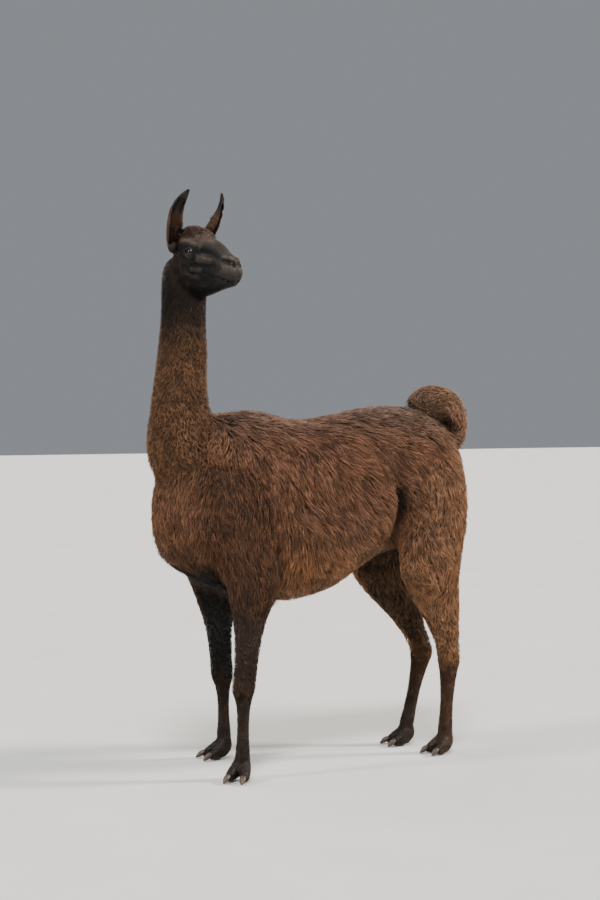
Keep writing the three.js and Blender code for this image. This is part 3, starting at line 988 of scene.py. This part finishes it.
LOCKS = {
    "stifle_curls": Lock([(.175, .280, .640), (.165, .300, .590)], .034,
                         wave=3.0, lift=2.0, curl=2.4, gold=3.0),
    "thigh_front": Lock([(.160, .250, .900), (.150, .280, .760)], .030, wave=1.4, lift=0.8, length=0.6),
    "belly_edge": Lock([(.165, .190, .880), (.150, .180, .770), (.070, .150, .670)], .035,
                       wave=1.2, lift=1.3, length=0.9, gold=5.0),
    "elbow_hair": Lock([(.170, -.200, .660), (.160, -.205, .600)], .050,
                       wave=1.3, lift=1.6, length=1.4, gold=2.0),
    "withers": Lock([(.0, -.330, 1.13), (.0, -.230, 1.13)], .070, wave=1.3, lift=1.5, length=1.1),
    "chest": Lock([(.030, -.560, .960), (.030, -.540, .780)], .110,
                  wave=2.2, lift=1.3, length=1.1, curl=1.4, gold=2.5),
    "rump": Lock([(.080, .500, 1.020), (.100, .490, .720)], .060,
                 wave=1.3, lift=1.5, length=1.1, curl=1.1, gold=4.0),
    "brisket": Lock([(.060, -.500, .720), (.030, -.440, .640)], .080,
                    wave=2.0, lift=1.5, length=1.2, curl=1.3, gold=1.2),
    "fore_knee": Lock([(.150, -.300, .350), (.150, -.300, .320)], .040,
                      wave=1.5, lift=2.0, length=1.5, curl=1.2, gold=2.0),
    "hock": Lock([(.110, .480, .420), (.110, .480, .360)], .050,
                 wave=1.6, lift=1.4, length=1.2, curl=1.2, gold=3.0),
}
HANGING = ("stifle_curls", "elbow_hair", "brisket", "fore_knee", "hock")
CHEST_END = -0.36
FLANK_MIDDLE = 0.04
CROWN_FROM = {"z": 0.038, "y": -0.070}


def on_left(places):
    return places[:, 0] >= 0


def on_right(places):
    return places[:, 0] < 0


def in_front(places):
    return places[:, 1] < CHEST_END


def on_crown(places):
    local = in_head(places)
    return (local[:, 2] > CROWN_FROM["z"]) & (local[:, 1] > CROWN_FROM["y"])


def by_locks(places):
    """Whether long locks hang over the coat at places."""
    near = [path_distance(folded(places), LOCKS[name].path) < LOCKS[name].reach for name in HANGING]
    return np.any(near, axis=0)


def flank(side, front):
    """A test for places on one side of the trunk behind the chest, in its front or its rear half."""
    def test(places):
        ahead = places[:, 1] < FLANK_MIDDLE
        return (places[:, 1] >= CHEST_END) & side(places) & (ahead == front)
    return test


class Piece(NamedTuple):
    """A piece of the coat: its groups, its tufts, where they grow, their steps and the axis of its unwrap."""

    groups: list
    tufts: int
    where: object = None
    steps: int = LONG
    axis: int = 2


def pair(name, groups, tufts, steps=LONG):
    """The left and the right piece of a pair."""
    sides = {"left": on_left, "right": on_right}
    return {f"{name}_{side}": Piece(groups, tufts, test, steps) for side, test in sides.items()}


PIECES = {
    "coat_chest": Piece(["trunk"], 12000, in_front),
    "coat_flank_left_front": Piece(["trunk"], 10300, flank(on_left, True), axis=1),
    "coat_flank_left_rear": Piece(["trunk"], 10300, flank(on_left, False), axis=1),
    "coat_flank_right_front": Piece(["trunk"], 9300, flank(on_right, True), axis=1),
    "coat_flank_right_rear": Piece(["trunk"], 9300, flank(on_right, False), axis=1),
    "coat_neck": Piece(["neck"], 13500),
    "coat_tail": Piece(["tail"], 5500, axis=0),
    "coat_crown": Piece(["head"], 2400, on_crown),
    "coat_locks": Piece(["trunk", "arm", "thigh", "shank"], 1800, by_locks, LOCK_STEPS),
    "coat_head": Piece(["head"], 21000, steps=SHORT),
    "coat_ears": Piece(["ear"], 4000, steps=SHORT),
    **pair("coat_arm", ["arm"], 6200),
    **pair("coat_thigh", ["thigh"], 7500),
    **pair("coat_shanks", ["shank", "foot"], 9500, SHORT),
}

# How much the coat's measures grow in some regions of the body.
REGIONS = {
    "length": {"fringe": 0.65, "forearm": -0.68, "gaskin": -0.50, "crown": 3.2, "muzzle": -0.45},
    "lift": {"fringe": 0.60, "forearm": -0.50, "gaskin": -0.35, "crown": 6.0},
    "wave": {"crown": 14},
    "stray": {"crown": 3.0},
    "width": {"crown": 2.0},
}
CROWN_CURL = 1.2

# How the tufts are scattered and how they run.
TRIES = 5  # places tried for each tuft
CLOSER = 0.94  # how the spacing shrinks until there are enough
MOST_CELLS = 4096  # more than the cells along any axis
SWIRL = 1.2
WAVE_TURN = 5.0  # radians of a wave along a tuft
WAVE_FLATNESS = 0.5
RISE_POWER = 0.8
FARTHEST_OFF = 0.02
PULL_POWER = 1.5
RIDGE = 0.42  # a tuft's height over its width
TAPER = 0.25
SIDES = ((0, 1), (1, 2), (2, 0))  # of a tuft's three-cornered section
UNWRAP_MARGIN = 0.01

# The way the coat lies: how far backwards along the trunk and on the legs, against 1 downwards.
BACKWARDS = {
    "y": (-0.55, -0.40, -0.25, -0.10, 0.10, 0.30, 0.45),
    "share": (-0.7, -0.55, 0.05, 0.5, 0.9, 0.8, 0.1),
}
OVER_BACK = 1.4
LEGS_BACKWARDS = {"arm": 0.25, "thigh": 0.10, "shank": 0.05, "foot": -0.3}
ASIDE = {"trunk": 0.35, "head": 0.25}
MIDDLE_LINE = 0.03  # how far from the middle the trunk's hair turns aside
CHEEK_FALL = (-0.15, 0.6)  # of the face's hair by the eye, and how much more by the jaw
TAIL_WEIGHT = 4
TAIL_CURL = (0, 0.400, 1.070)  # the middle of the tail's curl

# Where no tufts grow.
NOSTRIL_BARE = 0.0065
MOUTH_BARE = 0.0022
LIDS_BARE = 1.12  # lid radii
EAR_BARE = 0.7 * EAR_LOOK
SOLE_BARE = 0.012


def flow(points, normals):
    """The way the coat lies at points of the skin, along its surface."""
    x, y, z = points.T
    zero, one = np.zeros(len(points)), np.ones(len(points))
    aside = x / (np.abs(x) + MIDDLE_LINE)
    back = np.interp(y, BACKWARDS["y"], BACKWARDS["share"])
    back = back + OVER_BACK * ramp("over_back", z) * ramp("behind_neck", y)
    back = back * ramp("above_legs", z) ** 0.5
    local = in_head(points)
    by_eye, by_jaw = CHEEK_FALL
    fall = by_eye - by_jaw * ramp("cheek", -local[:, 2])
    curl = points - np.array(TAIL_CURL)
    ways = {
        "trunk": np.stack([ASIDE["trunk"] * aside, back, -one], axis=1),
        "neck": np.stack([zero, zero, -one], axis=1),
        "head": np.stack([ASIDE["head"] * np.sign(local[:, 0]), one, fall], axis=1) @ HEAD_AXES,
        "ear": np.stack([zero, zero, one], axis=1),
        "tail": np.stack([zero, -curl[:, 2], curl[:, 1]], axis=1) * TAIL_WEIGHT,
    }
    for group, share in LEGS_BACKWARDS.items():
        ways[group] = np.stack([zero, share * one, -one], axis=1)
    way = shares.mix(ways, points)
    return unit(way - normals * (way * normals).sum(axis=1, keepdims=True))


def thinned(points, spacing):
    """The numbers of the first point in each cube of space."""
    cells = np.floor(points / spacing).astype(np.int64)
    keys = (cells[:, 0] * MOST_CELLS + cells[:, 1]) * MOST_CELLS + cells[:, 2]
    return np.sort(np.unique(keys, return_index=True)[1])


def roots_on(points, triangles, chosen, count, rng):
    """Evenly scattered places on some triangles, as many as the count."""
    corners = points[triangles[chosen]]
    areas = np.linalg.norm(np.cross(corners[:, 1] - corners[:, 0], corners[:, 2] - corners[:, 0]), axis=1) / 2
    picked = rng.choice(len(chosen), size=count * TRIES, p=areas / areas.sum())
    first, second = rng.random((2, len(picked), 1))
    over = first + second > 1
    first, second = np.where(over, 1 - first, first), np.where(over, 1 - second, second)
    a, b, c = corners[picked].transpose(1, 0, 2)
    places = a + (b - a) * first + (c - a) * second
    spacing = math.sqrt(areas.sum() / count)
    kept = np.arange(0)
    while len(kept) < count:
        kept = thinned(places, spacing)
        spacing *= CLOSER
    return places[rng.permutation(kept)[:count]]


def locks(name, roots):
    """What the locks multiply one of the coat's measures by."""
    places = folded(roots)
    total = np.ones(len(roots))
    for lock in LOCKS.values():
        near = bell(path_distance(places, lock.path), lock.reach)
        total *= 1 + (getattr(lock, name) - 1) * near
    return total


def regions(roots):
    """How far roots are in each region where the coat differs from that of its group, from 0 to 1."""
    z = roots[:, 2]
    local = in_head(roots)
    head = shares.of("head", roots)
    return {
        "fringe": ramp("fringe_hair", z) * shares.of("trunk", roots),
        "forearm": ramp("forearm_hair", z) * shares.of("arm", roots),
        "gaskin": ramp("gaskin_hair", z) * shares.of("thigh", roots),
        "crown": ramp("crown_hair", local[:, 2]) * ramp("crown_front", -local[:, 1]) * head,
        "muzzle": ramp("muzzle_hair", -local[:, 1]) * head,
    }


def coat_facts(roots):
    """The coat's measures at roots: those of the groups, changed by the place."""
    facts = {name: shares.mix(table, roots) for name, table in COAT.items()}
    for name in ("wave", "lift", "length", "curl"):
        facts[name] = facts.get(name, 1) * locks(name, roots)
    found = regions(roots)
    facts["curl"] = facts["curl"] + CROWN_CURL * found["crown"]
    for name, changes in REGIONS.items():
        facts[name] = facts[name] * sum((share * found[region] for region, share in changes.items()), 1)
    return facts


def tuft_paths(roots, steps, rng):
    """The points that each tuft runs through, its width and the number of its clump's leader."""
    facts = coat_facts(roots)
    depth = shares.mix(COAT_DEPTH, roots)
    length = facts["length"] * rng.uniform(*VARIETY["length"], len(roots))
    lift = facts["lift"] * rng.uniform(*VARIETY["lift"], len(roots))
    wave = facts["wave"]
    normals = skin.normal(roots)
    turn = rng.normal(0, 1, len(roots)) * facts["stray"] + (swirl.at(roots) - 0.5) * SWIRL
    phase = rng.uniform(0, 2 * math.pi, len(roots))
    rows = [roots - normals * ROOT_DEPTH]
    place = roots
    for step in range(1, steps + 1):
        part = step / steps
        lie = flow(place, normals)
        aside = np.cross(normals, lie)
        bend = turn + (facts["curl"] - 1) * part * np.sin(phase)
        lie = lie * np.cos(bend)[:, None] + aside * np.sin(bend)[:, None]
        place = place + lie * (length / steps)[:, None]
        normals = skin.normal(place)
        height = depth * lift * math.sin(part * math.pi / 2) ** RISE_POWER
        off = np.clip(height - skin.at(place), -FARTHEST_OFF, FARTHEST_OFF)
        place = place + normals * off[:, None]
        sway = wave * math.sqrt(part) * np.sin(phase + part * WAVE_TURN)
        bob = WAVE_FLATNESS * wave * math.sqrt(part) * np.cos(phase + part * WAVE_TURN)
        rows.append(place + aside * sway[:, None] + normals * bob[:, None])
    paths, leaders = clumped(np.stack(rows, axis=1), facts["clump"], rng)
    return paths, facts["width"] * rng.uniform(*VARIETY["width"], len(roots)), leaders


def clumped(paths, pull, rng):
    """The tufts drawn towards the leader of their clump, the more the nearer the tip, and the leaders."""
    leaders = thinned(paths[:, 0], CLUMP_SPACING)
    tree = kdtree.KDTree(len(leaders))
    for number, leader in enumerate(leaders):
        tree.insert(paths[leader, 0], number)
    tree.balance()
    nearest = leaders[[tree.find(root)[1] for root in paths[:, 0]]]
    along = np.linspace(0, 1, paths.shape[1]) ** PULL_POWER
    share = (pull * rng.uniform(*VARIETY["pull"], len(paths)))[:, None] * along
    return paths + (paths[nearest] - paths) * share[:, :, None], nearest


def tuft_faces(rings):
    """The outward triangles of one tuft: a point, some rings of three corners and a point."""
    faces = [(0, 1 + a, 1 + b) for a, b in SIDES]
    for ring in range(rings - 1):
        low = 1 + 3 * ring
        for a, b in SIDES:
            faces += [(low + a, low + 3 + b, low + b), (low + a, low + 3 + a, low + 3 + b)]
    last = 3 * rings - 2
    return np.array(faces + [(last + a, last + 3, last + b) for a, b in SIDES])


def tuft_solids(paths, widths):
    """The points and triangles of closed three-sided tufts along the paths."""
    count, rows = paths.shape[:2]
    ahead = unit(np.gradient(paths, axis=1))
    normals = skin.normal(paths[:, 1])
    aside = unit(np.cross(ahead, normals[:, None, :]))
    up = np.cross(aside, ahead)
    points = [paths[:, 0]]
    for ring in range(1, rows - 1):
        half = (widths / 2 * (1 - TAPER * (ring - 1)))[:, None]
        middle = paths[:, ring]
        points += [middle - aside[:, ring] * half, middle + aside[:, ring] * half,
                   middle + up[:, ring] * half * 2 * RIDGE]
    points = np.stack([*points, paths[:, -1]], axis=1)
    faces = tuft_faces(rows - 2)
    triangles = faces[None] + (np.arange(count) * points.shape[1])[:, None, None]
    return points.reshape(-1, 3), triangles.reshape(-1, 3)


def unwrap(roots, axis):
    """Each root's place on an unwrap of its region: the angle round the axis, and the way along it."""
    others = [a for a in range(3) if a != axis]
    middle = (roots.min(axis=0) + roots.max(axis=0)) / 2
    away = roots - middle
    angle = np.arctan2(away[:, others[1]], away[:, others[0]]) / (2 * math.pi) + 0.5
    along = away[:, axis] / np.ptp(roots[:, axis]) + 0.5
    return UNWRAP_MARGIN + (1 - 2 * UNWRAP_MARGIN) * np.stack([angle, along], axis=1)


def along_tuft(root, tip, rings):
    """A value at every point of a tuft, changing evenly from its root to its tip."""
    rows = np.linspace(root, tip, rings + 2)
    return np.concatenate([rows[:1], np.repeat(rows[1:-1], 3), rows[-1:]])


def tuft_colours(roots, leaders, rings, rng):
    """Each tuft's colour at every point of it: darker at the root, partly as painted shade within the coat,
    lighter and warmer at the tip, partly as painted rim light.
    """
    clump_shade = np.random.default_rng(COAT_SEED).uniform(*VARIETY["clump"], len(roots))[leaders]
    own = pelt(roots) * (clump_shade * rng.uniform(*VARIETY["shade"], len(roots)))[:, None]
    short = shares.of("head", roots) + shares.of("shank", roots) + shares.of("foot", roots)
    fringe = ramp("golden", roots[:, 2]) * (shares.of("trunk", roots) + shares.of("thigh", roots))
    bright = smooth_step(own.max(axis=1), *DARK_COAT) * np.clip(1 - short, 0, 1)
    own = toned(own, RUSSET, rng.random(len(roots)) ** 3 * WARMTH * bright)
    # Golden tips, partly painted rim light on the fringes and locks.
    golden = (GOLD_SHARES["locks"] * locks("gold", roots) + GOLD_SHARES["fringe"] * fringe) * bright
    golden = np.clip(golden * rng.uniform(*VARIETY["gold"], len(roots)), 0, GOLD_SHARES["most"])
    share = (golden[:, None] * along_tuft(0, 1, rings) ** 2)[:, :, None]
    # Painted shade at the roots in part, the hair's own lighter tips in part.
    shades = along_tuft(*ROOT_TO_TIP, rings)
    return own[:, None, :] * shades[None, :, None] * (1 - share) + GOLD * share


def make_coat(name, facts, points, triangles, groups_of, number):
    """One piece of the coat."""
    rng = np.random.default_rng(COAT_SEED + number)
    middles = points[triangles].mean(axis=1)
    chosen = np.isin(groups_of, [list(GROUPS).index(group) for group in facts.groups])
    if facts.where:
        chosen &= facts.where(middles)
    chosen = np.flatnonzero(chosen)
    chosen = chosen[bare_enough(middles[chosen])]
    roots = roots_on(points, triangles, chosen, facts.tufts, rng)
    paths, widths, leaders = tuft_paths(roots, facts.steps, rng)
    rings = facts.steps - 1
    solid_points, solid_faces = tuft_solids(paths, widths)
    mesh = mesh_of(name, solid_points, solid_faces)
    paint(mesh, tuft_colours(roots, leaders, rings, rng).reshape(-1, 3))
    across = np.array([0] + [-1, 1, 0] * rings + [0])
    patch = np.stack([across, along_tuft(-1, 1, rings)], axis=1) * PATCH
    places = (unwrap(roots, facts.axis)[:, None, :] + patch[None]).reshape(-1, 2)
    layer = mesh.uv_layers.new(name="OFBake")
    layer.data.foreach_set("uv", places[solid_faces.ravel()].astype(np.float32).ravel())
    short = facts.steps == SHORT
    coat = piece(name, mesh)
    coat.data.materials.append(hair_material("hair_short" if short else "hair_long"))


def bare_enough(middles):
    """Whether tufts may grow at places: not on lids, in the nostrils, mouth and ears, or under the soles."""
    local = in_head(middles)
    free = middles[:, 2] > SOLE_BARE
    for side in (1, -1):
        free &= np.linalg.norm(local - eye_middle(side), axis=1) > LID_RADIUS * LIDS_BARE
    face = np.flatnonzero(free & (middles[:, 2] > ZONES["head"]["from"]))
    places = folded(local[face])
    bare = path_distance(places, RELIEF["nostril"].path) < NOSTRIL_BARE
    bare |= path_distance(places, RELIEF["mouth"].path) < MOUTH_BARE
    ears = shares.of("ear", middles[face]) > 0.5
    ahead = middles[face] + skin.normal(middles[face]) * EAR_LOOK
    bare |= ears & (skin.at(ahead) < EAR_BARE)
    free[face[bare]] = False
    return free


def paint(mesh, colours):
    """Gives a mesh its colours point by point."""
    layer = mesh.color_attributes.new("tint", "FLOAT_COLOR", "POINT")
    full = np.concatenate([colours, np.ones((len(colours), 1))], axis=1)
    layer.data.foreach_set("color", full.astype(np.float32).ravel())


# ---- Materials ----
MIX_COLOURS = (6, 7)  # the mix node's sockets for two colours
MIX_RESULT = 2
HAIR = {
    "hair_long": {"Roughness": 0.58, "Specular IOR Level": 0.20, "Sheen Weight": 0.06},
    "hair_short": {"Roughness": 0.34, "Specular IOR Level": 0.20, "Sheen Weight": 0.0},
}
SHEEN = {"Sheen Roughness": 0.35, "Sheen Tint": (1.0, 0.78, 0.55, 1)}
HIDE = {"Roughness": 0.55, "Specular IOR Level": 0.3}
HORN = {"Roughness": 0.5}
HORN_COLOURS = ((*colour(40, 31, 25), 1), (*colour(84, 68, 52), 1))
WET_EYE = {
    "Roughness": 0.25, "Specular IOR Level": 0.0,
    "Coat Weight": 1.0, "Coat Roughness": 0.03, "Coat IOR": 1.42,
}
PUPIL_SQUEEZE = (2.4, 4.6, 0.0)
PUPIL_EDGE = (0.9, 1.1)
PUPIL_BLACK = (0.002, 0.002, 0.003, 1)
IRIS_COLOURS = ((0.005, 0.003, 0.003, 1), (0.022, 0.011, 0.008, 1))
FLOOR_TINT = (0.62, 0.61, 0.58)


def new_material(name, settings):
    """A material, its node tree and its shader with those settings."""
    material = bpy.data.materials.new(name)
    material.use_nodes = True
    shader = material.node_tree.nodes["Principled BSDF"]
    for key, value in settings.items():
        shader.inputs[key].default_value = value
    return material, material.node_tree, shader


def add(tree, kind, inputs=None, **settings):
    """A node with its settings and its unlinked or linked inputs."""
    node = tree.nodes.new(kind)
    for key, value in settings.items():
        setattr(node, key, value)
    for key, value in (inputs or {}).items():
        if isinstance(value, bpy.types.NodeSocket):
            tree.links.new(value, node.inputs[key])
        else:
            node.inputs[key].default_value = value
    return node


def varied(tree, tint, scale, low, high):
    """A colour made darker and lighter by noise."""
    where = add(tree, "ShaderNodeTexCoord").outputs["Object"]
    noise = add(tree, "ShaderNodeTexNoise", {"Vector": where, "Scale": scale, "Detail": 4.0})
    shade = add(tree, "ShaderNodeMapRange", {"Value": noise.outputs["Fac"], "From Min": 0.3, "From Max": 0.7,
                                             "To Min": low, "To Max": high})
    scaled = add(tree, "ShaderNodeVectorMath", {0: tint, "Scale": shade.outputs[0]}, operation="SCALE")
    return scaled.outputs["Vector"]


def stretched_noise(tree, squeeze, scale):
    """Noise squeezed along Z."""
    where = add(tree, "ShaderNodeTexCoord").outputs["Object"]
    stretched = add(tree, "ShaderNodeMapping", {"Vector": where, "Scale": (1.0, 1.0, squeeze)})
    noise = add(tree, "ShaderNodeTexNoise", {"Vector": stretched.outputs[0], "Scale": scale, "Detail": 3.0})
    return noise.outputs["Fac"]


def mixed(tree, factor, colours):
    """A mix of two colours."""
    mix = add(tree, "ShaderNodeMix", {"Factor": factor, **dict(zip(MIX_COLOURS, colours))}, data_type="RGBA")
    return mix.outputs[MIX_RESULT]


def tinted(tree, shader, scale, low, high):
    """Gives a shader the mesh's own colours, varied."""
    tint = add(tree, "ShaderNodeAttribute", attribute_name="tint").outputs["Color"]
    tree.links.new(varied(tree, tint, scale, low, high), shader.inputs["Base Color"])


def bumped(tree, shader, height, strength, distance):
    """Roughens a shader's surface by a height."""
    bump = add(tree, "ShaderNodeBump", {"Height": height, "Strength": strength, "Distance": distance})
    tree.links.new(bump.outputs[0], shader.inputs["Normal"])


@functools.cache
def hair_material(name):
    material, tree, shader = new_material(name, HAIR[name] | SHEEN)
    tinted(tree, shader, 260.0, 0.85, 1.15)
    return material


def skin_material():
    material, tree, shader = new_material("short_hair_and_skin", HIDE)
    tinted(tree, shader, 180.0, 0.7, 1.25)
    bumped(tree, shader, stretched_noise(tree, 0.25, 700.0), 0.5, 0.001)
    return material


@functools.cache
def eye_material():
    material, tree, shader = new_material("eye_wet", WET_EYE)
    spot = add(tree, "ShaderNodeAttribute", attribute_name="spot").outputs["Vector"]
    wide = add(tree, "ShaderNodeVectorMath", {0: spot, 1: PUPIL_SQUEEZE}, operation="MULTIPLY")
    away = add(tree, "ShaderNodeVectorMath", {0: wide.outputs[0]}, operation="LENGTH").outputs["Value"]
    near, far = PUPIL_EDGE
    inside = add(tree, "ShaderNodeMapRange", {"Value": away, "From Min": near, "From Max": far})
    rays = add(tree, "ShaderNodeTexNoise", {"Vector": spot, "Scale": 14.0, "Detail": 6.0})
    iris = mixed(tree, rays.outputs["Fac"], IRIS_COLOURS)
    tree.links.new(mixed(tree, inside.outputs[0], (PUPIL_BLACK, iris)), shader.inputs["Base Color"])
    return material


@functools.cache
def nail_material():
    material, tree, shader = new_material("nail_horn", HORN)
    bands = stretched_noise(tree, 4.0, 90.0)
    tree.links.new(mixed(tree, bands, HORN_COLOURS), shader.inputs["Base Color"])
    bumped(tree, shader, bands, 0.3, 0.0006)
    return material


def floor_material():
    material, tree, shader = new_material("studio_floor", {"Roughness": 0.8})
    tree.links.new(varied(tree, FLOOR_TINT, 3.0, 0.97, 1.03), shader.inputs["Base Color"])
    return material


# ---- Camera, lights and floor ----
HEAD_TO_CAMERA = Vector((4.9097, -1.8914, -0.459))
CAMERA_YAW = 65  # degrees from looking along +Y, to the animal's right
CAMERA_LENS = 66.88
PRINCIPAL_SHIFT = (-0.020, -0.0556)
FLOOR_SIZE = 60.0
SKY = (0.82, 0.87, 0.94, 1)
SKY_STRENGTH = 0.31
LIGHTS = {
    "key": {"from": (1.6, 5.0, 3.4), "spread": 9, "power": 4.5, "tint": (1, .93, .82)},
    "fill": {"from": (3.2, -1.6, 5.4), "spread": 14, "power": 3.1, "tint": (.98, .98, 1)},
    "catch": {"from": (-.035, -.84, .54), "spread": 8, "power": 2.0, "tint": (1, .98, .96)},
    "rim": {"from": (-4.0, -2.0, 4.5), "spread": 40, "power": 0.9, "tint": (1, 1, 1)},
}


def make_camera():
    data = bpy.data.cameras.new("camera")
    data.lens = CAMERA_LENS
    data.shift_x, data.shift_y = PRINCIPAL_SHIFT
    camera = bpy.data.objects.new("camera", data)
    bpy.context.scene.collection.objects.link(camera)
    camera.location = HEAD_MIDDLE + HEAD_TO_CAMERA
    camera.rotation_euler = (math.pi / 2, 0, math.radians(CAMERA_YAW))
    bpy.context.scene.camera = camera


def make_lights():
    for name, facts in LIGHTS.items():
        data = bpy.data.lights.new(name, "SUN")
        data.angle = math.radians(facts["spread"])
        data.energy = facts["power"]
        data.color = facts["tint"]
        light = bpy.data.objects.new(name, data)
        bpy.context.scene.collection.objects.link(light)
        light.location = facts["from"]
        light.rotation_euler = (-Vector(facts["from"])).to_track_quat("-Z", "Y").to_euler()
    world = bpy.data.worlds.new("studio")
    world.use_nodes = True
    world.node_tree.nodes["Background"].inputs["Color"].default_value = SKY
    world.node_tree.nodes["Background"].inputs["Strength"].default_value = SKY_STRENGTH
    bpy.context.scene.world = world


def make_floor():
    half = FLOOR_SIZE / 2
    corners = np.array([(-half, -half, 0), (half, -half, 0), (half, half, 0), (-half, half, 0)])
    floor = loose("floor", mesh_of("floor", corners, np.array([[0, 1, 2, 3]])))
    floor.data.materials.append(floor_material())


# ---- The scene ----
shares = Shares()
skin = Skin(shares)
blotch = Noise(1, 0.060)
mottle = Noise(2, 0.014)
swirl = Noise(3, 0.055)
make_camera()
make_lights()
make_floor()
hide, hide_points, hide_triangles = make_skin(skin)
# The skin's colour darkened: partly its own tone, partly painted shade of the coat over it.
paint(hide.data, pelt(hide_points) * HIDE_SHADE)
hide.data.materials.append(skin_material())
for eye_side, eye_sign in (("left", 1), ("right", -1)):
    make_eye(eye_side, eye_sign)
for nail_node in NAILS:
    make_nail(nail_node)
hide_middles = hide_points[hide_triangles].mean(axis=1)
hide_groups = np.argmax(shares.field.at(hide_middles), axis=1)
for coat_number, (coat_name, piece_facts) in enumerate(PIECES.items()):
    make_coat(coat_name, piece_facts, hide_points, hide_triangles, hide_groups, coat_number)
